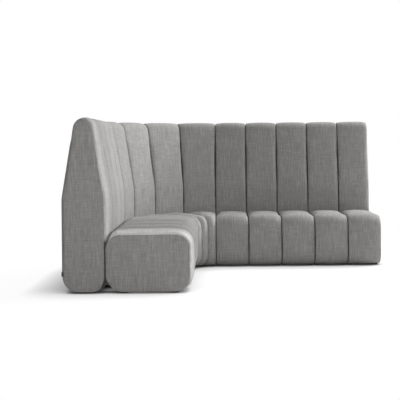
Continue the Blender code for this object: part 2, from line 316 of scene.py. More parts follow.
def looseness(form, depth, height):
    """How free a cover is to move: held at its foot, at a back's round top, and where seat and back meet."""
    free = zone_share(PAD_CLEARANCE, HELD_FOOT, height)
    free *= 1 - zone_share(BACK_HEIGHT, HELD_TOP, height)
    if form == SEAT:
        return free * (1 - zone_share(BACK_FRONT, HELD_REAR, depth))
    if depth < BACK_CENTRE:
        return free * zone_share(SEAT_HEIGHT, HELD_MEETING, height)
    return free


def meeting_share(form, depth, height):
    """How deep a place lies between the seat and the back, from 0 to 1."""
    below = 1 - smooth_step(SEAT_HEIGHT - SEAT_CORNER_RADIUS, SEAT_HEIGHT - SEAT_CORNER_RADIUS / 2, height)
    if form == SEAT:
        return below * smooth_step(BACK_FRONT - MEETING_REACH / 2, BACK_FRONT, depth)
    edge = BACK_FRONT + END_CROWN_RISE
    return below * (1 - smooth_step(edge, edge + MEETING_REACH, depth))


def cover_mesh(form, kind, free_side):
    """Loft a cover across its slice, with a flat panel at each side and a sewn seam at a free end."""
    bm = bmesh.new()
    weave = bm.loops.layers.uv.new("weave")
    counts = step_counts(ARCS[form](0.0, free_side))
    middle = traced(ARCS[form](0.0, free_side), counts)
    size = len(middle)
    along = [0.0]
    for index in range(size):
        along.append(along[-1] + (middle[(index + 1) % size] - middle[index]).length)
    stations = crown_stations()
    painted_shade = bm.verts.layers.float.new("painted_shade")
    rings = []
    for side in stations:
        ring = []
        for depth, height in traced(ARCS[form](side, free_side), counts):
            vert = bm.verts.new((*plan_point(kind, side, depth, FIT_GAP / 2), height))
            # Painted shade: darker in the clefts between slices and where seat and back meet
            vert[painted_shade] = max(cleft_share(side, free_side), meeting_share(form, depth, height))
            ring.append(vert)
        rings.append(ring)
    for ring, following in zip(rings, rings[1:]):
        for index in range(size):
            after = (index + 1) % size
            face = bm.faces.new((ring[index], ring[after], following[after], following[index]))
            for loop, place in zip(face.loops, (index, index + 1, index + 1, index)):
                loop[weave].uv = (loop.vert.co.x, along[place])
    panels = {LEFT_END: bm.faces.new(rings[0]), RIGHT_END: bm.faces.new(rings[-1])}
    bmesh.ops.recalc_face_normals(bm, faces=bm.faces)
    crown = set(bm.faces) - set(panels.values())
    if free_side != NO_END:
        sew_panel(bm, panels[free_side], form, free_side)
    if free_side == LEFT_END:
        # Painted highlight on the crown beside the left end's panels
        mark_painted_highlight(bm, crown, form, kind, free_side)
    for face in bm.faces:
        if face not in crown:
            for loop in face.loops:
                loop[weave].uv = (loop.vert.co.y, loop.vert.co.z)
    mesh = bpy.data.meshes.new(f"{form}_{kind}")
    bm.to_mesh(mesh)
    bm.free()
    return mesh


def sew_panel(bm, panel, form, free_side):
    """Pull the edge of an end panel into its seam, most where seat and back meet; the panel stands proud."""
    edge = list(panel.verts)
    centre = panel.calc_center_median()
    for vert in edge:
        meeting = 1 - smooth_step(0.0, MEETING_REACH, abs(vert.co.y - BACK_FRONT))
        if form == BACK:
            meeting *= 1 - smooth_step(SEAT_HEIGHT - MEETING_REACH, SEAT_HEIGHT, vert.co.z)
        pull = SEAM_PULL + MEETING_PULL * meeting
        inward = (centre - vert.co).normalized()
        vert.co += inward * pull
        vert.co.x -= free_side * pull
    # The painted shade fades with each ring in towards the middle of the panel
    painted_shade = bm.verts.layers.float["painted_shade"]
    for width, lift in PANEL_RINGS:
        bmesh.ops.inset_individual(bm, faces=[panel], thickness=width, depth=lift, use_even_offset=True)
        for vert in panel.verts:
            vert[painted_shade] *= PANEL_SHADE_FADE


def mark_painted_highlight(bm, crown, form, kind, free_side):
    """Note how much painted highlight the crown beside a free end's seam gets, from 0 to about 1."""
    painted_highlight = bm.verts.layers.float.new("painted_highlight")
    for vert in bm.verts:
        depth = depth_of(kind, vert.co.y)
        edge = half_width(kind, depth, 0.0)
        inside = edge - free_side * vert.co.x
        highlight = 1 - HIGHLIGHT_EDGE * smooth_step(0.0, HIGHLIGHT_REACH / 2, inside)
        highlight *= HIGHLIGHT_SHARES[form] * (1 - smooth_step(HIGHLIGHT_REACH / 2, HIGHLIGHT_REACH, inside))
        highlight *= 1 - meeting_share(form, depth, vert.co.z)
        if form == BACK:
            highlight *= 1 - smooth_step(BACK_FRONT + HIGHLIGHT_REACH / 2, BACK_CENTRE, depth)
        else:
            upper = smooth_step(SEAT_HEIGHT - SEAT_CORNER_RADIUS, SEAT_HEIGHT - SEAT_CROWN_RISE, vert.co.z)
            highlight *= HIGHLIGHT_SIDE + (1 - HIGHLIGHT_SIDE) * upper
        highlight *= zone_share(PAD_CLEARANCE, HIGHLIGHT_FOOT, vert.co.z)
        on_crown = any(face in crown for face in vert.link_faces)
        vert[painted_highlight] = highlight if on_crown else 0.0


def held_weights(mesh, form, kind):
    """How firmly each point of a cover is held: fully at the side panels, seams and foot."""
    weights = []
    for vert in mesh.vertices:
        depth = depth_of(kind, vert.co.y)
        inside = half_width(kind, depth, FIT_GAP / 2) - abs(vert.co.x)
        free = looseness(form, depth, vert.co.z)
        weights.append(1.0 if inside < SEAM_PULL + FIT_GAP else 1.0 - free)
    return weights


def make_cloth(cover, form, kind):
    """Draw a cover in a little, make it a cloth that is held at its seams, and give its points' places."""
    mesh = cover.data
    weights = held_weights(mesh, form, kind)
    normals = [vert.normal.copy() for vert in mesh.vertices]
    group = cover.vertex_groups.new(name=HELD_GROUP)
    for vert, weight, normal in zip(mesh.vertices, weights, normals):
        group.add([vert.index], weight, "REPLACE")
        side = vert.co.x / half_width(kind, depth_of(kind, vert.co.y), 0.0)
        vert.co -= normal * CLOTH_SLACK[form] * (1 - weight) * (1 - side ** SLACK_POWER)
    cloth = cover.modifiers.new("cloth", "CLOTH")
    settings = cloth.settings
    settings.vertex_group_mass = HELD_GROUP
    settings.effector_weights.gravity = 0.0
    settings.use_pressure = True
    settings.uniform_pressure_force = CLOTH_PRESSURE
    settings.tension_stiffness = CLOTH_TENSION
    settings.compression_stiffness = CLOTH_TENSION
    settings.bending_stiffness = CLOTH_BENDING
    return [vert.co.copy() for vert in mesh.vertices]


def apply_cloth(cover, form, kind, free_side, starts, places):
    """Move a cover's points to where the cloth went, up to a cap and within the slice; drop the cloth."""
    for vert, start, place in zip(cover.data.vertices, starts, places):
        move = place - start
        if move.length > CLOTH_CAP[form]:
            move.length = CLOTH_CAP[form]
        vert.co = start + move
        widest = half_width(kind, depth_of(kind, vert.co.y), FIT_GAP / 2)
        if free_side * vert.co.x <= 0:
            vert.co.x = min(max(vert.co.x, -widest), widest)
    cover.modifiers.clear()
    cover.vertex_groups.clear()


def swell(covers):
    """Blow every cover up a little by cloth simulation, from a slightly smaller start."""
    scene = bpy.context.scene
    starts = {}
    for (form, kind, free_side), cover in covers.items():
        starts[form, kind, free_side] = make_cloth(cover, form, kind)
    for step in range(1, CLOTH_FRAMES + 1):
        scene.frame_set(step)
    depsgraph = bpy.context.evaluated_depsgraph_get()
    for (form, kind, free_side), cover in covers.items():
        blown = cover.evaluated_get(depsgraph).data
        places = [vert.co.copy() for vert in blown.vertices]
        apply_cloth(cover, form, kind, free_side, starts[form, kind, free_side], places)
    scene.frame_set(1)


def pocket_size(form):
    """Front and rear depth and top of the pocket that a carcass fills in its pad."""
    low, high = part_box(f"{form}_carcass_right_1")
    return low.y - CENTRE_Y - FIT_GAP, high.y - CENTRE_Y + FIT_GAP, high.z + FIT_GAP


def cut_pocket(cover, form, kind):
    """The cover's mesh with the pocket for its carcass cut out from below."""
    front, rear, top = pocket_size(form)
    bm = bmesh.new()
    corners = [(-1, front), (1, front), (1, rear), (-1, rear)]
    bottom = PAD_CLEARANCE - SIDE_PADDING
    plan = [plan_point(kind, side, depth, SIDE_PADDING) for side, depth in corners]
    floor = bm.faces.new([bm.verts.new((x, y, bottom)) for x, y in plan])
    raised = bmesh.ops.extrude_face_region(bm, geom=[floor])["geom"]
    lifted = [item for item in raised if isinstance(item, bmesh.types.BMVert)]
    bmesh.ops.translate(bm, verts=lifted, vec=(0.0, 0.0, top - bottom))
    bmesh.ops.recalc_face_normals(bm, faces=bm.faces)
    mesh = bpy.data.meshes.new("pocket")
    bm.to_mesh(mesh)
    bm.free()
    pocket = bpy.data.objects.new("pocket", mesh)
    bpy.context.scene.collection.objects.link(pocket)
    boolean = cover.modifiers.new("pocket", "BOOLEAN")
    boolean.operation = "DIFFERENCE"
    boolean.solver = "EXACT"
    boolean.object = pocket
    depsgraph = bpy.context.evaluated_depsgraph_get()
    cut = bpy.data.meshes.new_from_object(cover.evaluated_get(depsgraph))
    bpy.data.objects.remove(pocket, do_unlink=True)
    bpy.data.objects.remove(cover, do_unlink=True)
    return cut


def cover_types():
    """One finished mesh for each form, kind and free side that the sofa has."""
    covers = {}
    for form in (SEAT, BACK):
        for kind, free_side in COVER_KINDS:
            mesh = cover_mesh(form, kind, free_side)
            cover = bpy.data.objects.new(mesh.name, mesh)
            bpy.context.scene.collection.objects.link(cover)
            covers[form, kind, free_side] = cover
    swell(covers)
    meshes = {}
    for (form, kind, free_side), cover in covers.items():
        meshes[form, kind, free_side] = cut_pocket(cover, form, kind)
    return meshes


def chain():
    """Every slice from the left end to the right end: label, kind, free side, place and turn."""
    found = []
    for index in reversed(range(SLICE_COUNTS["left"])):
        free_side = LEFT_END if index == SLICE_COUNTS["left"] - 1 else NO_END
        place = (0.0, -(index + 0.5) * SLICE_WIDTH)
        found.append((f"left_{index + 1}", STRAIGHT, free_side, place, CORNER_TURN))
    for index in range(SLICE_COUNTS["corner"]):
        turn = CORNER_TURN - (index + 0.5) * WEDGE_ANGLE
        found.append((f"corner_{index + 1}", WEDGE, NO_END, (0.0, 0.0), turn))
    for index in range(SLICE_COUNTS["right"]):
        free_side = RIGHT_END if index == SLICE_COUNTS["right"] - 1 else NO_END
        place = ((index + 0.5) * SLICE_WIDTH, 0.0)
        found.append((f"right_{index + 1}", STRAIGHT, free_side, place, 0.0))
    return found


def slice_place(location, turn):
    """The matrix that brings a slice to its place in the sofa."""
    corner = Matrix.Translation((CENTRE_X, CENTRE_Y, 0.0))
    return corner @ Matrix.Translation((*location, 0.0)) @ Matrix.Rotation(turn, 4, "Z")


def seam_wander(seam, depth, height):
    """How far a seam strays sideways at a place of its outline; the free ends stay straight."""
    if seam in (0, sum(SLICE_COUNTS.values())):
        return 0.0
    place = Vector((depth, height, seam * SLICE_NOISE_STEP / SEAM_WANDER_PER_METRE))
    return SEAM_WANDER * noise.noise(place * SEAM_WANDER_PER_METRE)


def settle(mesh, form, kind, position):
    """Make a cover uneven: its seams wander with their neighbours', and its crown swells more or less."""
    front, rear, top = pocket_size(form)
    normals = [vert.normal.copy() for vert in mesh.vertices]
    for vert, normal in zip(mesh.vertices, normals):
        x, outward, height = vert.co
        depth = depth_of(kind, outward)
        side = x / half_width(kind, depth, 0.0)
        inner = abs(x) < half_width(kind, depth, SIDE_PADDING) + FIT_GAP
        if inner and front - FIT_GAP < depth < rear + FIT_GAP and height < top + FIT_GAP:
            continue
        share = (side + 1) / 2
        near = seam_wander(position, depth, height)
        far = seam_wander(position + 1, depth, height)
        free = looseness(form, depth, height) * max(0.0, 1 - side * side)
        place = Vector((x, outward, height)) * CROWN_SWELL_PER_METRE
        place.z += position * SLICE_NOISE_STEP
        vert.co += normal * free * CROWN_SWELL * noise.noise(place)
        vert.co.x += (1 - share) * near + share * far


def shift_weave(mesh, position):
    """Move a cover's weave map, so that each slice is cut from another place of the cloth."""
    away = Vector([step * position for step in WEAVE_STEP])
    for item in mesh.uv_layers["weave"].data:
        item.uv = item.uv + away


def ease_painted_shade(mesh, kind, free_side, turn):
    """Make the painted shade in the creases weaker towards the left wing, except between the panels of its
    free end.
    """
    for vert, painted_shade in zip(mesh.vertices, mesh.attributes["painted_shade"].data):
        depth = depth_of(kind, vert.co.y)
        side = vert.co.x / half_width(kind, depth, 0.0)
        facing = turn - side * WEDGE_HALF if kind == WEDGE else turn
        shade_eased = smooth_step(0.0, CORNER_TURN, facing) * (1 - smooth_step(*END_ZONE, side * free_side))
        painted_shade.value *= 1 - (1 - LEFT_PAINTED_SHADE) * shade_eased


def mark_tone_and_painted_light(mesh, tone):
    """Note how much lighter or darker than the rest a cover is painted: mostly painted light and shade,
    partly its own tone.
    """
    layer = mesh.attributes.new("tone", "FLOAT", "POINT")
    layer.data.foreach_set("value", [tone] * len(mesh.vertices))


# Grey around which the textures vary
MIDDLE_GREY = 0.5


def new_tree(name):
    """A material with an empty Principled shader: the material, its node tree and the shader."""
    material = bpy.data.materials.new(name)
    material.use_nodes = True
    tree = material.node_tree
    return material, tree, tree.nodes["Principled BSDF"]


def wire(tree, socket, value):
    """Link a socket to another node's output, or set it to a plain value."""
    if isinstance(value, bpy.types.NodeSocket):
        tree.links.new(value, socket)
    else:
        socket.default_value = value


def math_node(tree, operation, first, second=0.0):
    """The result of a Math node."""
    node = tree.nodes.new("ShaderNodeMath")
    node.operation = operation
    wire(tree, node.inputs[0], first)
    wire(tree, node.inputs[1], second)
    return node.outputs[0]


def scaled(tree, vector, scale):
    """A vector times another, part by part."""
    node = tree.nodes.new("ShaderNodeVectorMath")
    node.operation = "MULTIPLY"
    wire(tree, node.inputs[0], vector)
    wire(tree, node.inputs[1], scale)
    return node.outputs[0]


def noise_node(tree, vector, scale, detail):
    """The grey value of a Noise texture; its scale is one number, or one for each axis."""
    node = tree.nodes.new("ShaderNodeTexNoise")
    if isinstance(scale, tuple):
        vector = scaled(tree, vector, scale)
        scale = 1.0
    wire(tree, node.inputs["Vector"], vector)
    node.inputs["Scale"].default_value = scale
    node.inputs["Detail"].default_value = detail
    return node.outputs["Fac"]


def attribute_value(tree, name):
    """The value of a mesh attribute, or 0 on a mesh without it."""
    node = tree.nodes.new("ShaderNodeAttribute")
    node.attribute_name = name
    return node.outputs["Fac"]


def weighted(tree, start, parts):
    """A start value plus the parts, each a grey value around the middle grey times its weight."""
    total = start
    for value, weight in parts:
        swing = math_node(tree, "SUBTRACT", value, MIDDLE_GREY)
        total = math_node(tree, "ADD", total, math_node(tree, "MULTIPLY", swing, weight))
    return total


def ramp(tree, value, stops):
    """A colour ramp through the given places and colours."""
    node = tree.nodes.new("ShaderNodeValToRGB")
    band = node.color_ramp
    while len(band.elements) < len(stops):
        band.elements.new(MIDDLE_GREY)
    for element, (place, colour) in zip(band.elements, stops):
        element.position = place
        element.color = (*colour, 1.0)
    wire(tree, node.inputs["Fac"], value)
    return node.outputs["Color"]


def bump(tree, height, strength, distance):
    """A normal from a grey height."""
    node = tree.nodes.new("ShaderNodeBump")
    node.inputs["Strength"].default_value = strength
    node.inputs["Distance"].default_value = distance
    wire(tree, node.inputs["Height"], height)
    return node.outputs["Normal"]


# Woven fabric: pitch of its threads in metres, its tones, and the painted highlight and painted shade laid
# over them
THREAD_PITCH = 0.0016
FABRIC_DARK = (0.135, 0.131, 0.126)
FABRIC_MIDDLE = (0.285, 0.279, 0.270)
FABRIC_LIGHT = (0.470, 0.462, 0.448)
FABRIC_BRIGHT = (0.680, 0.669, 0.648)
FABRIC_PAINTED_SHADE_COLOUR = (0.050, 0.049, 0.048)
# The darkest stop is the painted shade of the clefts and creases; the brightest is reached mostly by the
# painted highlight
FABRIC_STOPS = (
    (0.0, FABRIC_PAINTED_SHADE_COLOUR),
    (0.15, FABRIC_DARK),
    (0.5, FABRIC_MIDDLE),
    (0.85, FABRIC_LIGHT),
    (1.0, FABRIC_BRIGHT),
)
FABRIC_PAINTED_HIGHLIGHT = 0.45
FABRIC_PAINTED_SHADE = 0.75

# Unevenness of the yarns: how fine it is along the warp and the weft, its detail and its weight in the tone
FABRIC_GRAIN = {
    "warp_yarn": ((420.0, 17.0, 1.0), 2.0, 0.55),
    "weft_yarn": ((15.0, 390.0, 1.0), 2.0, 0.36),
    "warp_slub": ((115.0, 6.0, 1.0), 1.0, 0.40),
    "weft_slub": ((6.0, 115.0, 1.0), 1.0, 0.20),
    "fibre": (900.0, 2.0, 0.34),
    "cloud": (5.0, 2.0, 0.05),
}
YARN_RELIEF = 1.6
FABRIC_BUMP = (0.6, 0.0004)
FABRIC_ROUGHNESS = 0.88
FIBRE_ROUGHNESS = 0.16
FABRIC_SPECULAR = 0.2
FABRIC_SHEEN = 0.12
FABRIC_SHEEN_ROUGHNESS = 0.5


def fabric_material():
    """Grey melange cloth: a plain weave with slubs along the warp and the weft."""
    material, tree, shader = new_tree("grey_woven_fabric_looks")
    source = tree.nodes.new("ShaderNodeUVMap")
    source.uv_map = "weave"
    place = source.outputs["UV"]
    grain = {}
    parts = []
    for name, (scale, detail, weight) in FABRIC_GRAIN.items():
        grain[name] = noise_node(tree, place, scale, detail)
        parts.append((grain[name], weight))
    # Painted highlight beside the left end, less painted shade in clefts and creases, plus each cover's tone
    # with its painted light and shade
    highlighted = math_node(tree, "MULTIPLY", attribute_value(tree, "painted_highlight"), FABRIC_PAINTED_HIGHLIGHT)
    shaded = math_node(tree, "MULTIPLY", attribute_value(tree, "painted_shade"), FABRIC_PAINTED_SHADE)
    highlight_less_shade = math_node(tree, "SUBTRACT", highlighted, shaded)
    painted_light_and_tone = math_node(tree, "ADD", highlight_less_shade, attribute_value(tree, "tone"))
    tone = weighted(tree, math_node(tree, "ADD", painted_light_and_tone, MIDDLE_GREY), parts)
    wire(tree, shader.inputs["Base Color"], ramp(tree, tone, FABRIC_STOPS))
    turns = math.pi / THREAD_PITCH
    threads = tree.nodes.new("ShaderNodeSeparateXYZ")
    wire(tree, threads.inputs[0], place)
    warp = math_node(tree, "SINE", math_node(tree, "MULTIPLY", threads.outputs["X"], turns))
    weft = math_node(tree, "SINE", math_node(tree, "MULTIPLY", threads.outputs["Y"], turns))
    weave = math_node(tree, "MULTIPLY", warp, weft)
    height = weighted(tree, weave, ((grain["warp_yarn"], YARN_RELIEF), (grain["weft_yarn"], YARN_RELIEF)))
    wire(tree, shader.inputs["Normal"], bump(tree, height, *FABRIC_BUMP))
    roughness = weighted(tree, FABRIC_ROUGHNESS, ((grain["fibre"], FIBRE_ROUGHNESS),))
    wire(tree, shader.inputs["Roughness"], roughness)
    shader.inputs["Specular IOR Level"].default_value = FABRIC_SPECULAR
    shader.inputs["Sheen Weight"].default_value = FABRIC_SHEEN
    shader.inputs["Sheen Roughness"].default_value = FABRIC_SHEEN_ROUGHNESS
    return material


# Plywood: scale and detail of its grain, weights in the tone, colours, roughness and its swing, and relief
PLYWOOD_STREAK = ((60.0, 60.0, 3.0), 4.0)
PLYWOOD_PORE = ((500.0, 500.0, 20.0), 2.0)
PLYWOOD_CLOUD = (4.0, 2.0)
STREAK_WEIGHT = 0.9
PORE_WEIGHT = 0.3
CLOUD_WEIGHT = 0.4
PLYWOOD_STOPS = ((0.2, (0.40, 0.25, 0.13)), (0.55, (0.58, 0.41, 0.24)), (0.85, (0.68, 0.52, 0.33)))
PLYWOOD_ROUGHNESS = (0.6, 0.2)
PLYWOOD_BUMP = (0.3, 0.0003)


def plywood_material():
    """Raw birch plywood: long pale grain with darker streaks."""
    material, tree, shader = new_tree("birch_plywood_looks")
    place = tree.nodes.new("ShaderNodeTexCoord").outputs["Object"]
    streak = noise_node(tree, place, *PLYWOOD_STREAK)
    pore = noise_node(tree, place, *PLYWOOD_PORE)
    cloud = noise_node(tree, place, *PLYWOOD_CLOUD)
    parts = ((streak, STREAK_WEIGHT), (pore, PORE_WEIGHT), (cloud, CLOUD_WEIGHT))
    tone = weighted(tree, MIDDLE_GREY, parts)
    roughness, swing = PLYWOOD_ROUGHNESS
    wire(tree, shader.inputs["Base Color"], ramp(tree, tone, PLYWOOD_STOPS))
    wire(tree, shader.inputs["Roughness"], weighted(tree, roughness, ((streak, swing),)))
    wire(tree, shader.inputs["Normal"], bump(tree, pore, *PLYWOOD_BUMP))
    return material


# Dark hard finishes: powder coat with a fine orange peel, moulded nylon with scuffs, blackened screw steel
STEEL_FINISH = {
    "mottle": (40.0, 4.0),
    "stops": ((0.3, (0.010, 0.010, 0.011)), (0.7, (0.022, 0.022, 0.023))),
    "roughness": (0.45, 0.25),
    "relief": (900.0, 2.0),
    "bump": (0.25, 0.0002),
    "metallic": 0.0,
}
NYLON_FINISH = {
    "mottle": ((180.0, 180.0, 900.0), 3.0),
    "stops": ((0.3, (0.016, 0.016, 0.017)), (0.75, (0.045, 0.044, 0.044))),
    "roughness": (0.55, 0.3),
    "relief": (1200.0, 2.0),
    "bump": (0.2, 0.0002),
    "metallic": 0.0,
}
SCREW_FINISH = {
    "mottle": (700.0, 3.0),
    "stops": ((0.35, (0.030, 0.030, 0.032)), (0.75, (0.110, 0.108, 0.105))),
    "roughness": (0.38, 0.3),
    "relief": (700.0, 3.0),
    "bump": (0.15, 0.0001),
    "metallic": 1.0,
}


def hard_material(name, finish):
    """A hard finish with a mottled colour, a roughness that follows it, and a fine relief."""
    material, tree, shader = new_tree(name)
    place = tree.nodes.new("ShaderNodeTexCoord").outputs["Object"]
    mottle = noise_node(tree, place, *finish["mottle"])
    relief = noise_node(tree, place, *finish["relief"])
    roughness, swing = finish["roughness"]
    wire(tree, shader.inputs["Base Color"], ramp(tree, mottle, finish["stops"]))
    wire(tree, shader.inputs["Roughness"], weighted(tree, roughness, ((mottle, swing),)))
    wire(tree, shader.inputs["Normal"], bump(tree, relief, *finish["bump"]))
    shader.inputs["Metallic"].default_value = finish["metallic"]
    return material


# Black ribbon: pitch of its ribs in metres, fibre, colours, roughness and its swing, and relief
RIB_PITCH = 0.0008
RIBBON_FIBRE = (1500.0, 2.0)
RIBBON_STOPS = ((0.3, (0.012, 0.012, 0.014)), (0.7, (0.035, 0.034, 0.036)))
RIBBON_ROUGHNESS = (0.75, 0.2)
RIBBON_BUMP = (0.5, 0.0002)


def ribbon_material():
    """Black woven ribbon with fine ribs."""
    material, tree, shader = new_tree("black_ribbon_looks")
    place = tree.nodes.new("ShaderNodeTexCoord").outputs["Object"]
    axes = tree.nodes.new("ShaderNodeSeparateXYZ")
    wire(tree, axes.inputs[0], place)
    rib = math_node(tree, "SINE", math_node(tree, "MULTIPLY", axes.outputs["Z"], math.pi / RIB_PITCH))
    fibre = noise_node(tree, place, *RIBBON_FIBRE)
    roughness, swing = RIBBON_ROUGHNESS
    wire(tree, shader.inputs["Base Color"], ramp(tree, fibre, RIBBON_STOPS))
    wire(tree, shader.inputs["Roughness"], weighted(tree, roughness, ((fibre, swing),)))
    wire(tree, shader.inputs["Normal"], bump(tree, rib, *RIBBON_BUMP))
    return material


def add_piece(bm, name, material):
    """Make a finished mesh a piece of the sofa."""
    bmesh.ops.recalc_face_normals(bm, faces=bm.faces)
    mesh = bpy.data.meshes.new(name)
    bm.to_mesh(mesh)
    bm.free()
    mesh.materials.append(material)
    mesh.shade_smooth()
    mesh.set_sharp_from_angle(angle=SHARP_ANGLE)
    piece = bpy.data.objects.new(name, mesh)
    bpy.context.scene.collection.objects.link(piece)
    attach(piece, "root")


# Fittings under the bars: depths and distance from the seam as in the base frames
TURNED_STEPS = 24
FITTING_SEAM_OFFSET = 0.027
FRONT_GLIDE_INSET = 0.135
REAR_GLIDE_INSET = 0.11
GLIDE_DEPTHS = (INNER_RADIUS + FRONT_GLIDE_INSET, BACK_FRONT - REAR_GLIDE_INSET, BACK_CENTRE)
SEAT_SCREW_DEPTH = 0.46
BACK_SCREW_OFFSET = 0.062
SCREW_SPOTS = ((SEAT_SCREW_DEPTH, FITTING_SEAM_OFFSET), (BACK_CENTRE, BACK_SCREW_OFFSET))

# Radius and height of each ring of a collar, and radius and drop of each ring of a screw head
COLLAR_PROFILE = (
    (0.0112, 0.0012),
    (0.0130, 0.0012),
    (0.0142, 0.0026),
    (0.0142, 0.0058),
    (0.0138, 0.0064),
    (0.0112, 0.0064),
)
SCREW_HEAD = ((0.0046, 0.0), (0.0046, 0.0010), (0.0042, 0.0018), (0.0033, 0.0023), (0.0022, 0.0025))
SCREW_RECESS_RADIUS = 0.0017
SCREW_RECESS_DEPTH = 0.0012
SCREW_RECESS_SIDES = 6


def turned_ring(bm, place, radius, height, corners=0):
    """A ring of points round a vertical axis; with corners, it is a polygon of that many sides."""
    ring = []
    for step in range(TURNED_STEPS):
        angle = 2 * math.pi * step / TURNED_STEPS
        reach = radius
        if corners:
            sector = math.pi / corners
            reach = radius * math.cos(sector) / math.cos(angle % (2 * sector) - sector)
        across = place.x + reach * math.cos(angle)
        along = place.y + reach * math.sin(angle)
        ring.append(bm.verts.new((across, along, height)))
    return ring


def join_rings(bm, rings):
    """Faces between each ring and the next."""
    for ring, following in zip(rings, rings[1:]):
        for index in range(TURNED_STEPS):
            after = (index + 1) % TURNED_STEPS
            bm.faces.new((ring[index], ring[after], following[after], following[index]))


def add_collar(bm, place):
    """A moulded ring round a glide."""
    rings = [turned_ring(bm, place, radius, height) for radius, height in COLLAR_PROFILE]
    join_rings(bm, rings + rings[:1])


def add_screw(bm, place):
    """A low round screw head under a bar, with a six-sided recess."""
    rings = [turned_ring(bm, place, radius, BAR_BOTTOM - drop) for radius, drop in SCREW_HEAD]
    lowest = BAR_BOTTOM - SCREW_HEAD[-1][1]
    for height in (lowest, lowest + SCREW_RECESS_DEPTH):
        rings.append(turned_ring(bm, place, SCREW_RECESS_RADIUS, height, SCREW_RECESS_SIDES))
    join_rings(bm, rings)
    bm.faces.new(rings[0])
    bm.faces.new(rings[-1])


def add_fittings(nylon, screw_steel):
    """Collars round the glides and screws through the bars, one mesh of each for every base frame."""
    collars = {run: bmesh.new() for run in SLICE_COUNTS}
    screws = {run: bmesh.new() for run in SLICE_COUNTS}
    for label, kind, free_side, location, turn in chain():
        run = label.split("_")[0]
        to_row = slice_place(location, turn)
        for side in (-1, 1):
            for depth in GLIDE_DEPTHS:
                plan = plan_point(kind, side, depth, FITTING_SEAM_OFFSET)
                add_collar(collars[run], to_row @ Vector((*plan, 0.0)))
            for depth, offset in SCREW_SPOTS:
                plan = plan_point(kind, side, depth, offset)
                add_screw(screws[run], to_row @ Vector((*plan, 0.0)))
    for run in SLICE_COUNTS:
        add_piece(collars[run], f"glide_collars_{run}", nylon)
        add_piece(screws[run], f"frame_screws_{run}", screw_steel)


# Bare ribbon tab, sewn into the roll beside the rear edge of the left end's back panel
TAB_LOW = 0.122
TAB_HIGH = 0.154
TAB_ROOT = 0.0060
TAB_PAST_EDGE = 0.0205
TAB_THICKNESS = 0.0006
TAB_FOLD_RADIUS = 0.0005
TAB_SETBACK = 0.0040
TAB_FOLD_STEPS = 8
TAB_LEVELS = 9
TAB_CURL = 0.0006
STITCH_COUNT = 6
STITCH_FROM_ROOT = 0.0055
STITCH_SIZE = (0.0004, 0.0003, 0.0018)
STITCH_SEGMENTS = 10
STITCH_RINGS = 8


def add_tab(ribbon):
    """A folded loop of ribbon, with its root inside the cover."""
    edge = CENTRE_X - BACK_REAR + END_CROWN_RISE
    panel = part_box(f"back_pad_left_{SLICE_COUNTS['left']}")[0].y
    root = edge - TAB_ROOT
    fold = edge - TAB_PAST_EDGE + TAB_FOLD_RADIUS
    middle = panel + TAB_SETBACK
    path = [(root, middle + TAB_FOLD_RADIUS, 0.0, 1.0)]
    for step in range(TAB_FOLD_STEPS + 1):
        angle = math.pi / 2 + math.pi * step / TAB_FOLD_STEPS
        across = math.cos(angle)
        along = math.sin(angle)
        path.append((fold + TAB_FOLD_RADIUS * across, middle + TAB_FOLD_RADIUS * along, across, along))
    path.append((root, middle - TAB_FOLD_RADIUS, 0.0, -1.0))
    half = TAB_THICKNESS / 2
    outline = [(x + half * nx, y + half * ny) for x, y, nx, ny in path]
    outline += [(x - half * nx, y - half * ny) for x, y, nx, ny in reversed(path)]
    bm = bmesh.new()
    rings = []
    for level in range(TAB_LEVELS):
        share = level / (TAB_LEVELS - 1)
        height = TAB_LOW + (TAB_HIGH - TAB_LOW) * share
        curl = TAB_CURL * (2 * share - 1) ** 2
        rings.append([bm.verts.new((x, y - curl * (root - x) / (root - fold), height)) for x, y in outline])
    for ring, following in zip(rings, rings[1:]):
        for index in range(len(outline)):
            after = (index + 1) % len(outline)
            bm.faces.new((ring[index], ring[after], following[after], following[index]))
    bm.faces.new(rings[0])
    bm.faces.new(rings[-1])
    face = middle - TAB_FOLD_RADIUS - half
    for index in range(STITCH_COUNT):
        height = TAB_LOW + (TAB_HIGH - TAB_LOW) * (index + 0.5) / STITCH_COUNT
        place = Matrix.Translation((root - STITCH_FROM_ROOT, face, height))
        bmesh.ops.create_uvsphere(
            bm,
            u_segments=STITCH_SEGMENTS,
            v_segments=STITCH_RINGS,
            radius=1.0,
            matrix=place @ Matrix.Diagonal((*STITCH_SIZE, 1.0)),
        )
    add_piece(bm, "seam_tab_left", ribbon)


def add_pads(fabric):
    """Place a padded seat and back on every slice, in place of the plain pads."""
    meshes = cover_types()
    for position, (label, kind, free_side, location, turn) in enumerate(chain()):
        for form in (SEAT, BACK):
            mesh = meshes[form, kind, free_side].copy()
            settle(mesh, form, kind, position)
            shift_weave(mesh, position)
            ease_painted_shade(mesh, kind, free_side, turn)
            # Each cover's tone, mostly painted light and shade
            mark_tone_and_painted_light(mesh, COVER_TONES_AND_PAINTED_LIGHT.get((form, label), 0.0))
            mesh.transform(slice_place(location, turn))
            mesh.materials.clear()
            mesh.materials.append(fabric)
            mesh.shade_smooth()
            mesh.set_sharp_from_angle(angle=SHARP_ANGLE)
            pad = bpy.data.objects.new(f"{form}_cushion_{label}", mesh)
            bpy.context.scene.collection.objects.link(pad)
            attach(pad, "root")
            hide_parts(f"{form}_pad_{label}")


def dress_frame(plywood, steel):
    """Give the carcasses and the base frames their finishes."""
    for name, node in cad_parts.items():
        if "carcass" in name:
            node.data.materials.clear()
            node.data.materials.append(plywood)
        if name.startswith("base_frame"):
            node.data.materials.clear()
            node.data.materials.append(steel)


# Camera, from the photograph's perspective: pixels of a 400 by 400 frame, and a place from the corner centre
IMAGE_SIZE = 400.0
SENSOR_WIDTH = 36.0
FOCAL_PIXELS = 887.9
PRINCIPAL_X = 217.96
PRINCIPAL_Y = 145.24
CAMERA_PLACE = (0.0251, -7.3346, 1.0325)
CAMERA_ROLL = -0.0095


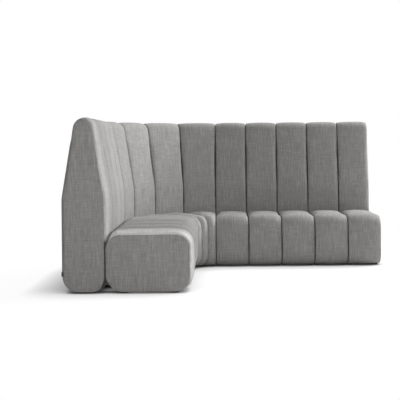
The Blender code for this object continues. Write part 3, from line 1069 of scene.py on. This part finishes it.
def add_camera():
    """A level camera with a shifted lens."""
    data = bpy.data.cameras.new("camera")
    data.sensor_width = SENSOR_WIDTH
    data.lens = FOCAL_PIXELS * SENSOR_WIDTH / IMAGE_SIZE
    data.shift_x = 0.5 - PRINCIPAL_X / IMAGE_SIZE
    data.shift_y = PRINCIPAL_Y / IMAGE_SIZE - 0.5
    camera = bpy.data.objects.new("camera", data)
    x, y, z = CAMERA_PLACE
    place = Matrix.Translation((CENTRE_X + x, CENTRE_Y + y, z))
    level = Matrix.Rotation(math.radians(90), 4, "X")
    camera.matrix_world = place @ level @ Matrix.Rotation(CAMERA_ROLL, 4, "Z")
    bpy.context.scene.collection.objects.link(camera)
    bpy.context.scene.camera = camera


# Studio: each softbox has a place, the point it faces, its size and its power
SOFA_MIDDLE = (0.0, 0.0, 0.5)
SOFTBOXES = {
    "key": ((6.0, 2.5, 3.5), SOFA_MIDDLE, (3.0, 3.0), 390.0),
    "side": ((5.0, 0.6, 2.4), SOFA_MIDDLE, (2.0, 2.0), 192.0),
    "top": ((0.0, 0.0, 4.2), SOFA_MIDDLE, (6.0, 6.0), 32.0),
    "rear": ((0.0, 2.6, 4.2), SOFA_MIDDLE, (5.0, 2.5), 130.0),
    "fill": ((0.0, -6.5, 1.0), SOFA_MIDDLE, (3.0, 1.5), 118.0),
    "near": ((-1.0, -4.0, 1.5), (-1.0, 0.0, 0.6), (2.0, 1.5), 14.0),
}
AMBIENT = 0.005
WHITE = (1.0, 1.0, 1.0, 1.0)

# Floor: its size, the light it throws back, and the shadow it shows, partly real from the lamps and partly
# painted into its glow, which fades to white around the sofa
FLOOR_SIZE = 60.0
FLOOR_ROUGHNESS = 0.9
FLOOR_BOUNCE = 0.65
FLOOR_SHADOW = 0.20
FLOOR_GLOW = 0.90
FLOOR_SHADES = ((0.32, (0.55, -0.30, 0.78)), (0.04, (0.0, 0.0, 1.0)))
FLOOR_SHADE_SAMPLES = 8
FLOOR_FADE = (1.9, 3.4)


def seen_share(tree):
    """1 on rays from the camera, in reflections and through glass; 0 on rays that light the object."""
    path = tree.nodes.new("ShaderNodeLightPath")
    seen = math_node(tree, "MAXIMUM", path.outputs["Is Camera Ray"], path.outputs["Is Glossy Ray"])
    return math_node(tree, "MAXIMUM", seen, path.outputs["Is Transmission Ray"])


def mixed(tree, share, first, second):
    """A mix of two shaders."""
    node = tree.nodes.new("ShaderNodeMixShader")
    wire(tree, node.inputs[0], share)
    wire(tree, node.inputs[1], first)
    wire(tree, node.inputs[2], second)
    return node.outputs[0]


def add_world():
    """White where it is seen, and a low even light elsewhere."""
    world = bpy.data.worlds.new("studio")
    world.use_nodes = True
    tree = world.node_tree
    light = tree.nodes["Background"]
    light.inputs["Color"].default_value = WHITE
    light.inputs["Strength"].default_value = AMBIENT
    white = tree.nodes.new("ShaderNodeBackground")
    white.inputs["Color"].default_value = WHITE
    white.inputs["Strength"].default_value = 1.0
    surface = mixed(tree, seen_share(tree), light.outputs[0], white.outputs[0])
    wire(tree, tree.nodes["World Output"].inputs["Surface"], surface)
    bpy.context.scene.world = world


def floor_strength(tree):
    """How brightly the floor near the sofa glows, with a painted shadow: less under and beside the sofa,
    most on its left as if lit from the right.
    """
    strength = FLOOR_GLOW
    for reach, leaning in FLOOR_SHADES:
        openness = tree.nodes.new("ShaderNodeAmbientOcclusion")
        openness.samples = FLOOR_SHADE_SAMPLES
        openness.inputs["Distance"].default_value = reach
        lean = tree.nodes.new("ShaderNodeCombineXYZ")
        for socket, value in zip(lean.inputs, leaning):
            socket.default_value = value
        wire(tree, openness.inputs["Normal"], lean.outputs[0])
        strength = math_node(tree, "MULTIPLY", openness.outputs["AO"], strength)
    return strength


def open_share(tree):
    """From 0 on the floor near the sofa to 1 on the open floor around it."""
    distance = tree.nodes.new("ShaderNodeVectorMath")
    distance.operation = "LENGTH"
    wire(tree, distance.inputs[0], tree.nodes.new("ShaderNodeTexCoord").outputs["Object"])
    fade = tree.nodes.new("ShaderNodeMapRange")
    fade.interpolation_type = "SMOOTHSTEP"
    fade.inputs["From Min"].default_value = FLOOR_FADE[0]
    fade.inputs["From Max"].default_value = FLOOR_FADE[1]
    wire(tree, fade.inputs["Value"], distance.outputs["Value"])
    return fade.outputs[0]


def floor_material():
    """Seen directly, white with the sofa's shadow, partly from the lamps and partly painted, and plain white
    further out; else a pale matt floor.
    """
    material, tree, shader = new_tree("floor")
    shader.inputs["Base Color"].default_value = (FLOOR_BOUNCE, FLOOR_BOUNCE, FLOOR_BOUNCE, 1.0)
    shader.inputs["Roughness"].default_value = FLOOR_ROUGHNESS
    shader.inputs["Specular IOR Level"].default_value = 0.0
    near = tree.nodes.new("ShaderNodeBsdfDiffuse")
    near.inputs["Color"].default_value = (FLOOR_SHADOW, FLOOR_SHADOW, FLOOR_SHADOW, 1.0)
    glow = tree.nodes.new("ShaderNodeEmission")
    wire(tree, glow.inputs["Strength"], floor_strength(tree))
    lit = tree.nodes.new("ShaderNodeAddShader")
    wire(tree, lit.inputs[0], near.outputs[0])
    wire(tree, lit.inputs[1], glow.outputs[0])
    plain = tree.nodes.new("ShaderNodeEmission")
    plain.inputs["Strength"].default_value = 1.0
    seen = mixed(tree, open_share(tree), lit.outputs[0], plain.outputs[0])
    surface = mixed(tree, seen_share(tree), shader.outputs[0], seen)
    wire(tree, tree.nodes["Material Output"].inputs["Surface"], surface)
    return material


def add_floor():
    """The studio's floor."""
    bm = bmesh.new()
    bmesh.ops.create_grid(bm, x_segments=1, y_segments=1, size=FLOOR_SIZE / 2)
    mesh = bpy.data.meshes.new("floor")
    bm.to_mesh(mesh)
    bm.free()
    mesh.materials.append(floor_material())
    floor = bpy.data.objects.new("floor", mesh)
    bpy.context.scene.collection.objects.link(floor)


def add_softboxes():
    """The studio's area lights."""
    for name, (place, target, (width, height), power) in SOFTBOXES.items():
        data = bpy.data.lights.new(name, "AREA")
        data.shape = "RECTANGLE"
        data.size = width
        data.size_y = height
        data.energy = power
        softbox = bpy.data.objects.new(name, data)
        softbox.location = place
        facing = Vector(target) - Vector(place)
        softbox.rotation_euler = facing.to_track_quat("-Z", "Y").to_euler()
        bpy.context.scene.collection.objects.link(softbox)


add_camera()
add_world()
add_floor()
add_softboxes()
dress_frame(plywood_material(), hard_material("black_coated_steel_looks", STEEL_FINISH))
add_pads(fabric_material())
nylon_looks = hard_material("black_nylon_looks", NYLON_FINISH)
screw_looks = hard_material("black_screw_looks", SCREW_FINISH)
add_fittings(nylon_looks, screw_looks)
add_tab(ribbon_material())
bpy.context.scene.view_settings.view_transform = "Standard"
